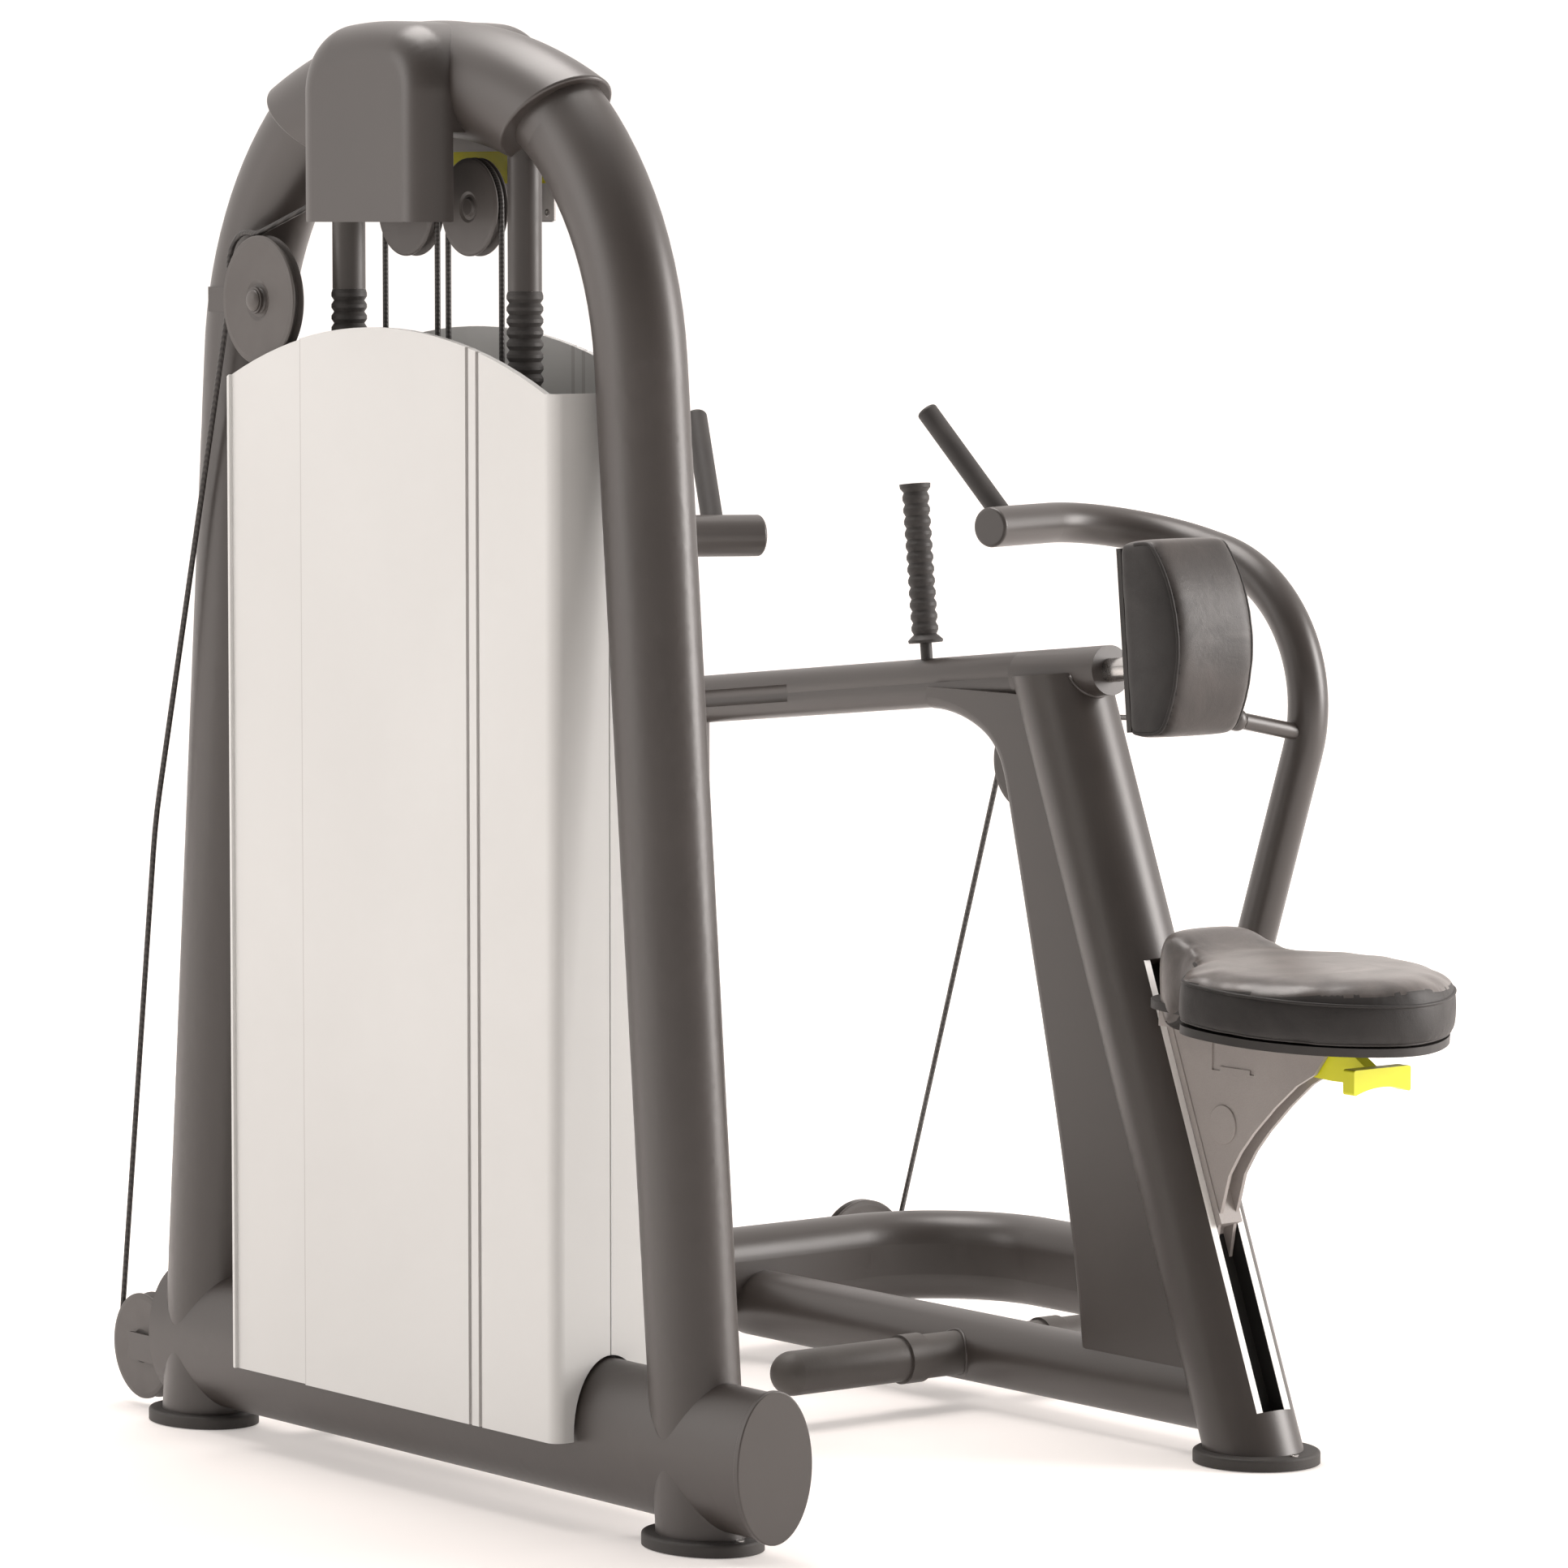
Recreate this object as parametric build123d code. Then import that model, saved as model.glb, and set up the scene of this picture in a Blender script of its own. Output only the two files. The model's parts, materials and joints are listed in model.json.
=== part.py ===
from build123d import *
import math
import os

os.makedirs("parts", exist_ok=True)

# Weight tower. X is across the tower's thickness, Y along its broad side, Z up. Millimetres.
TOWER_X = -790.0
FOOT_NEAR_Y = -17.0
FOOT_FAR_Y = 947.0
TOWER_MID_Y = 465.0
UPRIGHT_RY = 56.0
UPRIGHT_RX = 45.0
SHOULDER_Y = 105.0
SHOULDER_Z = 1425.0
SHOULDER_SLOPE = 0.585
SHOULDER_BEND = 360.0
UPRIGHT_RUN = 226.0
BRIDGE_GROW_Y = 7.0
BRIDGE_GROW_X = 14.0
BRIDGE_TOP_Z = 1541.0
BRIDGE_SLOPE = 26.0
BRIDGE_BEND = 600.0
BRIDGE_END_Y = 90.0
COLLAR_Y = 227.0
COLLAR_Z = 1504.0
COLLAR_SLOPE = 0.70
CROSS_Z = 100.0
CROSS_RZ = 78.0
CROSS_RX = 46.0
CROSS_Y0 = -142.0
CROSS_Y1 = 992.0
FOOT_T = 14.0

# Hood over the bridge.
HOOD_X0 = -885.0
HOOD_X1 = -693.0
HOOD_Y0 = 352.0
HOOD_Y1 = 606.0
HOOD_Z0 = 1386.0
HOOD_NEAR_WALL = 40.0
HOOD_FAR_WALL = 15.0
HOOD_CAVITY_Z = 1482.0
HOOD_SHOULDER_DROP = 13.0
HOOD_CORNER_R = 76.0
HOOD_EDGE_R = 42.0

# Guide rods and the stack.
ROD_Y = (298.0, 634.0)
ROD_R = 10.0
SLEEVE_R = 18.4
SLEEVE_Z0 = 1312.0
SLEEVE_Z1 = 1488.0
BELLOWS_Z0 = 1060.0
BELLOWS_RIBS = 20
STACK_X0 = -832.0
STACK_X1 = -748.0
STACK_Y0 = 216.0
STACK_Y1 = 716.0
STACK_Z0 = 215.0
PLATE_T = 30.0
PLATE_PITCH = 32.0
PLATES_LOW = 9
PLATES_HIGH = 6

# Shrouds, one on each side of the tower plane.
SHROUD_Y0 = 146.0
SHROUD_Y1 = 780.0
SHROUD_Z0 = 92.0
SHROUD_Z1 = 1206.0
SHROUD_TOP = 1272.0
SHROUD_CROWN_Y = 470.0
SHROUD_DEPTH = 73.0
SHROUD_WALL = 3.5
SHROUD_GROOVES_Y = (283.0, 302.0)
SHROUD_STEP_Y = 623.0
SHROUD_STEP = 4.0
SHROUD_GAP = 0.8

# Tower pulleys: centre Y, centre Z, radius.
TOP_PULLEYS = ((391.0, 1402.0, 53.0), (512.0, 1402.0, 53.0))
BIG_PULLEY = (721.0, 1299.0, 72.0)
BIG_PULLEY_X = -846.5
PULLEY_W = 20.0
DRUM_Y = 1064.0
DRUM_Z = 72.0
DRUM_R = 62.0

# Floor frame of the seat side.
SPINE_R = 41.0
SPINE_Z = 64.5
SPINE_Y1 = 912.0
BOW_X = 335.0
BOW_Y = 945.0
BOW_Y0 = 612.0
BOW_Z = 100.0
BOW_HALF_H = 55.0
BOW_HALF_W = 38.0
BOW_BEND = 170.0
PEG_Y = 492.0
PEG_Z = 62.0
PEG_R = 26.0
PEG_END_X = 300.0
LINK_Y = 800.0
LINK_Z = 67.0
LINK_R = 22.0

# Leaning column, its web and the beam.
COLUMN_LEAN = math.degrees(math.atan(0.4))
COLUMN_R = 55.0
COLUMN_TOP_Z = 905.0
WEB_HALF = 27.0
BEAM_END_R = 28.8
BEAM_LOBE_R = 20.6
BEAM_LOBE_OFF = 8.4
BEAM_GROOVE_X = 24.0
BEAM_GROOVE_R = 11.0
BEAM_GROOVE_Y = 836.0
BEAM_Y0 = 257.0
BEAM_Z0 = 876.0
BEAM_Y1 = 1105.0
BEAM_Z1 = 792.6
REAR_POST_R = 34.0
POST_BORE_R = 14.08

# Slot for the seat carriage, measured along the column's axis.
SLOT_HALF_X = 25.0
SLOT_A0 = 45.0
SLOT_A1 = 575.0
SLOT_FLOOR = 28.0
RAIL_W = 9.0

# Chest pad.
PAD_HALF_X = 59.0
PAD_EDGE_T = 57.0
PAD_MID_T = 98.0
PAD_H = 224.0
PAD_Z = 916.0
PAD_BACK_Y = 171.0
PAD_TILT = -5.6
PAD_TUBE_R = 14.0

# Seat.
SEAT_Z = 495.0
SEAT_T = 60.0
SEAT_HALF = 158.0
SEAT_TILT = 4.0
SEAT_TOP_LINE = ((-280, 0), (-200, 0.5), (-100, 1), (-20, 2), (30, 7), (70, 17), (100, 20),
    (124, 13), (139, -4), (160, -30))

# Seat bracket: (Y, Z) of its rear edge and of the channel's inner edge.
CHEEK_X = 14.0
CHANNEL_X = 9.5
BRACKET_REAR = (
    (60, 216), (50, 268), (34, 320), (15, 348), (-7, 372), (-42, 404), (-78, 432), (-108,
        448), (-126, 470), (-126, 515),
)
BRACKET_CHANNEL = ((-62, 482), (-58, 446), (-22, 418), (12, 388), (32, 362), (49, 333), (64, 280),
    (72, 226))
BOSS_Y = 43.0
BOSS_Z = 377.0
BOSS_R = 22.0

# Seat lever pivot.
LEVER_Y = -82.0
LEVER_Z = 456.0

# Swinging arms.
PIVOT_Y = 655.0
PIVOT_Z = 100.0
PIVOT_X0 = 414.0
PIVOT_X1 = 472.0
PIVOT_R = 20.0
HUB_R = 40.0
ARM_R = 24.5
ARM_PATH = ((174.0, 689.0, 1019.0), (432.0, 752.0, 1022.0), (476.0, 392.0, 938.0), (443.0, 655.0, 100.0))
ARM_BENDS = (130.0, 185.0)
GRIP_BASE = (224.0, 711.0, 1019.0)
GRIP_TOP = (175.0, 813.0, 1158.0)
GRIP_R = 13.0
TIE_ROOT = (469.0, 445.0, 770.0)
TIE_END = (355.0, 443.5, 793.0)
TIE_R = 10.0

# Cables.
CABLE_R = 3.2
COLUMN_PULLEY = (0.0, 404.0, 762.0)
COLUMN_PULLEY_R = 56.0
FLOOR_PULLEY = (322.0, 1123.8, 76.0)
FLOOR_PULLEY_R = 64.0


def bar(p, q, r):
    """A round bar from p to q."""
    a = Vector(*p)
    d = Vector(*q) - a
    return Solid.make_cylinder(r, d.length, Plane(origin=a, z_dir=d))


def cyl_x(x0, x1, y, z, r):
    return bar((x0, y, z), (x1, y, z), r)


def cyl_y(y0, y1, x, z, r):
    return bar((x, y0, z), (x, y1, z), r)


def cyl_z(z0, z1, x, y, r):
    return bar((x, y, z0), (x, y, z1), r)


def block(lo, hi):
    size = [b - a for a, b in zip(lo, hi)]
    mid = [(a + b) / 2 for a, b in zip(lo, hi)]
    return Pos(*mid) * Box(*size)


def profile_x(points, x0, x1):
    """A closed outline in the YZ plane, extruded along X."""
    face = make_face(Polyline(*[(x0, y, z) for y, z in points], close=True))
    return extrude(face, amount=x1 - x0, dir=(1, 0, 0))


def tube_along(points, radii, section, x_dir):
    """A section swept on straight runs joined by tangent arcs."""
    path = FilletPolyline(*points, radius=list(radii))
    plane = Plane(origin=path @ 0, x_dir=x_dir, z_dir=path % 0)
    return sweep(plane * section, path=path)


def turned(points):
    """A body of revolution about Z from (radius, height) points."""
    face = make_face(Polyline(*[(r, 0, z) for r, z in points], close=True))
    return revolve(face, axis=Axis.Z)


def pulley(r, width, bore):
    """A grooved wheel on the Z axis with dished faces and a hub."""
    h = width / 2
    half = [(bore, h), (r * 0.17, h), (r * 0.20, h - 2.6), (r * 0.26, h - 2.8), (r * 0.32, h - 1.2),
        (r * 0.9, h - 1)]
    half += [(r - 1.5, h - 1.6), (r, h - 2.8), (r, h - 4), (r - 6, 3)]
    return turned(half + [(y, -z) for y, z in reversed(half)])


def save(name, *shapes):
    pieces = [s for shape in shapes for s in shape.solids()]
    part = Compound(pieces) if len(pieces) > 1 else pieces[0]
    export_step(part, "parts/" + name + ".step")
    return part


def mirror_x(shape):
    return mirror(shape, about=Plane.YZ)


# ---------------------------------------------------------------- tower
def upright(side):
    """One leg, bent over at the shoulder and cut where the bridge sits on it."""
    run = UPRIGHT_RUN / math.hypot(1, SHOULDER_SLOPE)
    pts = [(FOOT_NEAR_Y, 0.0), (SHOULDER_Y, SHOULDER_Z),
        (SHOULDER_Y + run, SHOULDER_Z + run * SHOULDER_SLOPE)]
    if side > 0:
        pts = [(2 * TOWER_MID_Y - y, z) for y, z in pts]
    pts3 = [(TOWER_X, y, z) for y, z in pts]
    body = tube_along(pts3, [SHOULDER_BEND], Ellipse(UPRIGHT_RX, UPRIGHT_RY), (1, 0, 0))
    body = body & below_collars()
    return body - block((-1000, -300, -100), (-600, 1300, FOOT_T))


def collar_z(y):
    """Height of the collars' planes, which meet in a V at the tower's middle."""
    return COLLAR_Z - COLLAR_SLOPE * (TOWER_MID_Y - abs(y - TOWER_MID_Y) - COLLAR_Y)


def below_collars():
    ends = (-400.0, TOWER_MID_Y, 2 * TOWER_MID_Y + 400.0)
    top = [(y, collar_z(y)) for y in ends]
    return profile_x(top + [(ends[2], -200), (ends[0], -200)], -1000, -600)


def bridge():
    """Arched sleeve that joins the legs, cut off obliquely at both collars."""
    rise = math.tan(math.radians(BRIDGE_SLOPE))
    corner = BRIDGE_TOP_Z + BRIDGE_BEND * (1 / math.cos(math.radians(BRIDGE_SLOPE)) - 1)
    half = TOWER_MID_Y - BRIDGE_END_Y
    pts = [(BRIDGE_END_Y, corner - half * rise), (TOWER_MID_Y, corner),
        (TOWER_MID_Y + half, corner - half * rise)]
    pts3 = [(TOWER_X, y, z) for y, z in pts]
    grown = Ellipse(UPRIGHT_RX + BRIDGE_GROW_X, UPRIGHT_RY + BRIDGE_GROW_Y)
    body = tube_along(pts3, [BRIDGE_BEND], grown, (1, 0, 0)) - below_collars()
    ends = body.faces().filter_by(GeomType.PLANE)
    return fillet([e for f in ends for e in f.edges()], 3)


def cross_tube(uprights):
    face = Plane(origin=(TOWER_X, CROSS_Y0 + 8, CROSS_Z), x_dir=(1, 0, 0),
        z_dir=(0, 1, 0)) * Ellipse(CROSS_RX, CROSS_RZ)
    body = extrude(face, amount=CROSS_Y1 - CROSS_Y0 - 8)
    for u in uprights:
        body = body - u
    return body


def cross_tube_cap():
    plane = Plane(origin=(TOWER_X, CROSS_Y0, CROSS_Z), x_dir=(1, 0, 0), z_dir=(0, 1, 0))
    cap = extrude(plane * Ellipse(CROSS_RX + 3, CROSS_RZ + 3), amount=8)
    return fillet(cap.edges(), 1.5)


def foot_plate(x, y, rx, ry):
    body = extrude(Pos(x, y, 0) * Ellipse(rx, ry), amount=FOOT_T)
    top = body.edges().group_by(Axis.Z)[-1]
    return fillet(top, 3.5)


def hood(bridge_solid):
    """Cover over the two top pulleys, open below and at both ends."""
    crown = BRIDGE_TOP_Z + UPRIGHT_RY + BRIDGE_GROW_Y - 1
    side = crown - HOOD_SHOULDER_DROP
    outline = make_face(
        Curve()
        + Line((HOOD_Y0, HOOD_Z0), (HOOD_Y1, HOOD_Z0))
        + Line((HOOD_Y1, HOOD_Z0), (HOOD_Y1, side))
        + ThreePointArc((HOOD_Y1, side), ((HOOD_Y0 + HOOD_Y1) / 2, crown), (HOOD_Y0, side))
        + Line((HOOD_Y0, side), (HOOD_Y0, HOOD_Z0))
    )
    outline = fillet(outline.vertices().filter_by(lambda v: v.Y > side - 2), HOOD_CORNER_R)
    place = Plane(origin=(HOOD_X0, 0, 0), x_dir=(0, 1, 0), z_dir=(1, 0, 0))
    body = extrude(place * outline, amount=HOOD_X1 - HOOD_X0)
    ends = body.faces().filter_by(Axis.X)
    rims = [e for f in ends for e in f.edges() if e.center().Z > HOOD_Z0 + 1]
    body = fillet(rims, HOOD_EDGE_R)
    inner = block(
        (HOOD_X0 + HOOD_NEAR_WALL, HOOD_Y0 - 1, HOOD_Z0 - 1),
        (HOOD_X1 - HOOD_FAR_WALL, HOOD_Y1 + 1, HOOD_CAVITY_Z),
    )
    return body - inner - bridge_solid


def shroud(side):
    """Half of the stack cover: a channel with a stepped face and an arched top."""
    x_in = TOWER_X + side * SHROUD_GAP
    x_out = x_in + side * SHROUD_DEPTH
    x_step = x_out - side * SHROUD_STEP
    lo = min(x_in, x_out)
    body = block((lo, SHROUD_Y0, SHROUD_Z0), (lo + SHROUD_DEPTH, SHROUD_Y1, SHROUD_TOP + 10))
    upright_edges = [e for e in body.edges().filter_by(Axis.Z) if abs(e.center().X - x_out) < 1]
    body = fillet(upright_edges, 14)
    inner = block(
        (min(x_in - side * 2, x_out - side * (SHROUD_WALL + SHROUD_STEP)), SHROUD_Y0 + SHROUD_WALL,
            SHROUD_Z0 - 5),
        (max(x_in - side * 2, x_out - side * (SHROUD_WALL + SHROUD_STEP)), SHROUD_Y1 - SHROUD_WALL,
            SHROUD_TOP + 20),
    )
    body = body - inner
    left = block((min(x_step, x_out + side), SHROUD_STEP_Y, 0), (max(x_step, x_out + side), SHROUD_Y1 - 14, 1400))
    body = body - left
    for y in SHROUD_GROOVES_Y:
        groove = block((min(x_out - side * 3, x_out + side), y - 3, 0),
            (max(x_out - side * 3, x_out + side), y + 3, 1400))
        body = body - groove
    arch = make_face(
        Curve()
        + Line((-1000, SHROUD_Y0 - 20, SHROUD_Z1), (-1000, SHROUD_Y0 + 14, SHROUD_Z1))
        + ThreePointArc((-1000, SHROUD_Y0 + 14, SHROUD_Z1), (-1000, SHROUD_CROWN_Y, SHROUD_TOP),
            (-1000, SHROUD_Y1, SHROUD_Z1 + 4))
        + Line((-1000, SHROUD_Y1, SHROUD_Z1 + 4), (-1000, SHROUD_Y1 + 20, SHROUD_Z1 + 4))
        + Line((-1000, SHROUD_Y1 + 20, SHROUD_Z1 + 4), (-1000, SHROUD_Y1 + 20, 1500))
        + Line((-1000, SHROUD_Y1 + 20, 1500), (-1000, SHROUD_Y0 - 20, 1500))
        + Line((-1000, SHROUD_Y0 - 20, 1500), (-1000, SHROUD_Y0 - 20, SHROUD_Z1))
    )
    body = body - extrude(arch, amount=500, dir=(1, 0, 0))
    notch = Plane(origin=(TOWER_X, -200, CROSS_Z), x_dir=(1, 0, 0),
        z_dir=(0, 1, 0)) * Ellipse(CROSS_RX + 3, CROSS_RZ + 3)
    body = body - extrude(notch, amount=1400)
    if side > 0:
        body = body - block((x_out - 20, TOWER_MID_Y - 15, 205), (x_out + 20, TOWER_MID_Y + 15, 790))
    return body


def bellows(y):
    pitch = (SLEEVE_Z0 - BELLOWS_Z0) / BELLOWS_RIBS
    points = [(ROD_R + 0.5, BELLOWS_Z0)]
    for i in range(BELLOWS_RIBS):
        z = BELLOWS_Z0 + i * pitch
        points += [(SLEEVE_R - 1.5, z), (SLEEVE_R + 1.4, z + pitch * 0.35),
            (SLEEVE_R + 1.4, z + pitch * 0.65)]
    points += [(SLEEVE_R, SLEEVE_Z0 - 0.2), (ROD_R + 0.5, SLEEVE_Z0 - 0.2)]
    return Pos(TOWER_X, y, 0) * turned(points)


def plate(z, thickness):
    body = block((STACK_X0, STACK_Y0, z), (STACK_X1, STACK_Y1, z + thickness))
    body = fillet(body.edges().filter_by(Axis.Z), 8)
    for y in ROD_Y:
        body = body - cyl_z(z - 1, z + thickness + 1, TOWER_X, y, ROD_R + 2)
    slot = block((TOWER_X, TOWER_MID_Y - 5, z + 8), (STACK_X1 + 1, TOWER_MID_Y + 5, z + 18))
    return body - slot - cyl_z(z - 1, z + thickness + 1, TOWER_X, TOWER_MID_Y, 13)


def stack(first, count):
    return [plate(STACK_Z0 + (first + i) * PLATE_PITCH, PLATE_T) for i in range(count)]


def tower_pulley(y, z, r, width=PULLEY_W):
    return Plane(origin=(TOWER_X, y, z), z_dir=(1, 0, 0)) * pulley(r, width, 8.05)


# ---------------------------------------------------------------- seat side
def lean(shape):
    """From an upright build on the Z axis to the column's lean."""
    return Rot(-COLUMN_LEAN, 0, 0) * shape


def beam_bar(y0, z0, y1, z1, r):
    return bar((0, y0, z0), (0, y1, z1), r)


def beam_z(y):
    """Height of the beam's axis."""
    return BEAM_Z0 + (BEAM_Z1 - BEAM_Z0) * (y - BEAM_Y0) / (BEAM_Y1 - BEAM_Y0)


def beam_blank():
    """Two round lobes one above the other, with a full round sleeve at the user's end."""
    body = beam_bar(BEAM_Y0, BEAM_Z0, BEAM_Y0 + 150, beam_z(BEAM_Y0 + 150), BEAM_END_R)
    for off in (-BEAM_LOBE_OFF, BEAM_LOBE_OFF):
        lobe = beam_bar(BEAM_Y0 + 100, beam_z(BEAM_Y0 + 100) + off, BEAM_Y1, BEAM_Z1 + off, BEAM_LOBE_R)
        body = body + lobe
    for x in (-BEAM_GROOVE_X, BEAM_GROOVE_X):
        body = body - bar((x, BEAM_GROOVE_Y, beam_z(BEAM_GROOVE_Y)),
            (x, BEAM_Y1 + 5, beam_z(BEAM_Y1 + 5)), BEAM_GROOVE_R)
    return body


def column_blank():
    length = COLUMN_TOP_Z / math.cos(math.radians(COLUMN_LEAN)) + 60
    tube = lean(cyl_z(-40, length, 0, 0, COLUMN_R))
    rear = [(276, 60), (296, 200), (366, 517), (416, 717), (440, 775), (482, 802), (560, 816)]
    outline = Spline(*[(-WEB_HALF, y, z) for y, z in rear])
    outline = outline + Polyline(*[(-WEB_HALF, y, z) for y,
        z in [(560, 816), (560, 842), (330, 842), (70, 60), (276, 60)]])
    web = extrude(make_face(outline), amount=2 * WEB_HALF, dir=(1, 0, 0))
    curved = [e for e in web.edges() if e.geom_type == GeomType.BSPLINE]
    web = fillet(curved, 14)
    return tube + web


def column(spine_solid, beam_solid):
    body = column_blank()
    body = body - block((-200, -300, -100), (200, 900, FOOT_T))
    above = profile_x([(-200, beam_z(-200)), (800, beam_z(800)), (800, 1300), (-200, 1300)], -200, 200)
    body = body - above
    front = lean(block((-SLOT_HALF_X, -COLUMN_R - 5, SLOT_A0),
        (SLOT_HALF_X, -COLUMN_R + SLOT_FLOOR, SLOT_A1)))
    body = body - front
    x, y, z = COLUMN_PULLEY
    pocket = block((-17, y - 75, z - 75), (17, y + 150, z + 71))
    return body - pocket - spine_solid - beam_solid


def rails():
    out = []
    for s in (-1, 1):
        x0, x1 = sorted((s * SLOT_HALF_X, s * (SLOT_HALF_X - RAIL_W)))
        rail = block((x0, -COLUMN_R + 6, SLOT_A0), (x1, -COLUMN_R + SLOT_FLOOR - 2, SLOT_A1))
        out.append(lean(rail))
    return out


def bow_points():
    return [(-BOW_X, BOW_Y0, BOW_Z), (-BOW_X, BOW_Y, BOW_Z), (BOW_X, BOW_Y, BOW_Z),
        (BOW_X, BOW_Y0, BOW_Z)]


def bow():
    section = RectangleRounded(2 * BOW_HALF_W, 2 * BOW_HALF_H, BOW_HALF_W - 2)
    return tube_along(bow_points(), [BOW_BEND, BOW_BEND], section, (1, 0, 0))


def peg(s):
    body = cyl_x(s * 20, s * (PEG_END_X - 22), PEG_Y, PEG_Z, PEG_R) + cyl_x(s * 92, s * 120, PEG_Y,
        PEG_Z, PEG_R + 3)
    tip = Pos(s * (PEG_END_X - 22), PEG_Y, PEG_Z) * Sphere(PEG_R)
    return body + tip


def chest_pad():
    """A block whose front is crowned from top to bottom."""
    h = PAD_H / 2
    x = -PAD_HALF_X
    outline = make_face(
        Curve()
        + Line((x, 0, -h), (x, 0, h))
        + Line((x, 0, h), (x, -PAD_EDGE_T, h))
        + ThreePointArc((x, -PAD_EDGE_T, h), (x, -PAD_MID_T, 0), (x, -PAD_EDGE_T, -h))
        + Line((x, -PAD_EDGE_T, -h), (x, 0, -h))
    )
    body = extrude(outline, amount=2 * PAD_HALF_X, dir=(1, 0, 0))
    return fillet(body.edges(), 9)


def seat_outline():
    s = SEAT_HALF
    pts = [(0, 139), (40, 135), (69, 112), (72, 68), (80, 26), (112, -4), (s - 8, -32), (s, -80),
        (s - 9, -135)]
    pts += [(118, -194), (78, -232), (0, -262)]
    left = [(-x, y) for x, y in reversed(pts[1:-1])]
    return pts + left


def seat_face(scale, z):
    pts = [(x * scale, -40 + (y + 40) * scale, z) for x, y in seat_outline()]
    return make_face(Spline(*pts, periodic=True))


def seat_tilt(shape):
    """The nose is a little higher than the rear edge."""
    return Pos(0, -60, SEAT_Z) * Rot(SEAT_TILT, 0, 0) * Pos(0, 60, -SEAT_Z) * shape


def seat_cushion():
    """Saddle: a flat wide rear and a thick nose that stands up at the column."""
    low = SEAT_Z + 10
    high = low + SEAT_T
    top = Spline(*[(-200, y, high + rise) for y, rise in SEAT_TOP_LINE])
    side = make_face(top + Polyline((-200, 160, high - 30), (-200, 160, low), (-200, -280, low),
        (-200, -280, high)))
    body = extrude(seat_face(1.0, low), amount=200) & extrude(side, amount=400, dir=(1, 0, 0))
    return seat_tilt(body)


def seat_base():
    """Board under the cushion, cut back where it would meet the column."""
    board = seat_tilt(extrude(seat_face(0.965, SEAT_Z), amount=9.6))
    return board - lean(cyl_z(-40, 900, 0, 0, COLUMN_R + 0.8))


def carriage():
    """Two cast cheeks with a channel between them, on a shoe that slides in the column's slot."""
    front = [(176, 515), (120, 370), (76, 216)]
    cheeks = profile_x(front + list(BRACKET_REAR), -CHEEK_X, CHEEK_X)
    channel = profile_x(list(BRACKET_REAR[:-1]) + [(-135, 482)] + list(BRACKET_CHANNEL), -CHANNEL_X,
        CHANNEL_X)
    boss = cyl_x(-CHEEK_X - 2, CHEEK_X + 2, BOSS_Y, BOSS_Z, BOSS_R)
    boss = fillet(boss.edges(), 0.9)
    recess = block((CHEEK_X - 1.8, -8, 437), (CHEEK_X + 5, 63, 484))
    recess = recess - block((CHEEK_X - 5, -1, 430), (CHEEK_X + 6, 50, 442))
    top = block((-46, -140, 484), (46, 118, 515))
    body = cheeks - channel + boss - recess - mirror_x(recess) + top
    above = seat_tilt(block((-200, -400, SEAT_Z - 0.3), (200, 300, SEAT_Z + 200)))
    depth = -COLUMN_R + SLOT_FLOOR
    in_slot = body & lean(block((-CHEEK_X, -COLUMN_R - 4, 226), (CHEEK_X, depth - 1.5, 515)))
    shoe_half = SLOT_HALF_X - RAIL_W - 0.4
    shoe = lean(block((-shoe_half, -COLUMN_R - 3, 262), (shoe_half, depth - 4, 515)))
    pin = cyl_x(-CHEEK_X, CHEEK_X, LEVER_Y, LEVER_Z, 4)
    outside = body - lean(cyl_z(-40, 900, 0, 0, COLUMN_R + 0.8))
    return outside + in_slot + shoe - above + pin


def lever():
    """Paddle lever under the seat's rear edge, hung between the bracket's cheeks."""
    arm_side = profile_x([(-72, 466), (-140, 475), (-168, 473), (-188, 462), (-188, 444),
        (-131, 443), (-90, 445)], -8.6, 8.6)
    paddle = block((-42, -204, 436), (42, -186, 464))
    paddle = fillet(paddle.edges().filter_by(Axis.Y), 3)
    paddle = paddle - bar((0, -210, 330), (0, -180, 330), 113)
    hub = cyl_x(-8.6, 8.6, LEVER_Y, LEVER_Z, 12)
    return arm_side + paddle + hub - cyl_x(-9, 9, LEVER_Y, LEVER_Z, 4.05)


def arm(with_tie):
    pts = list(ARM_PATH)
    body = tube_along(pts, ARM_BENDS, Circle(ARM_R), (0, 0, 1))
    ends = body.faces().filter_by(GeomType.PLANE).sort_by(Axis.Z)
    body = fillet(ends[-1].edges(), 4)
    hub = cyl_x(PIVOT_X0, PIVOT_X1, PIVOT_Y, PIVOT_Z, HUB_R)
    tie = bar(TIE_ROOT, TIE_END, TIE_R) + Pos(*TIE_END) * Sphere(TIE_R + 4)
    bore = cyl_x(PIVOT_X0 - 5, PIVOT_X1 + 5, PIVOT_Y, PIVOT_Z, PIVOT_R + 0.05)
    if with_tie:
        body = body + tie
    return body + hub - bore


def grip(arm_solid):
    body = bar(GRIP_BASE, GRIP_TOP, GRIP_R)
    body = fillet(body.faces().sort_by(Axis.Z)[-1].edges(), 4)
    return body - arm_solid


def pivot():
    """Flange and shaft on the bow tube's end, with the washer that keeps the arm on."""
    body = cyl_x(BOW_X + BOW_HALF_W - 2, PIVOT_X0 - 1, PIVOT_Y, PIVOT_Z, 34)
    body = body + cyl_x(PIVOT_X0 - 2, PIVOT_X1 + 9, PIVOT_Y, PIVOT_Z, PIVOT_R)
    return body + cyl_x(PIVOT_X1 + 1, PIVOT_X1 + 7, PIVOT_Y, PIVOT_Z, 32)


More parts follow.
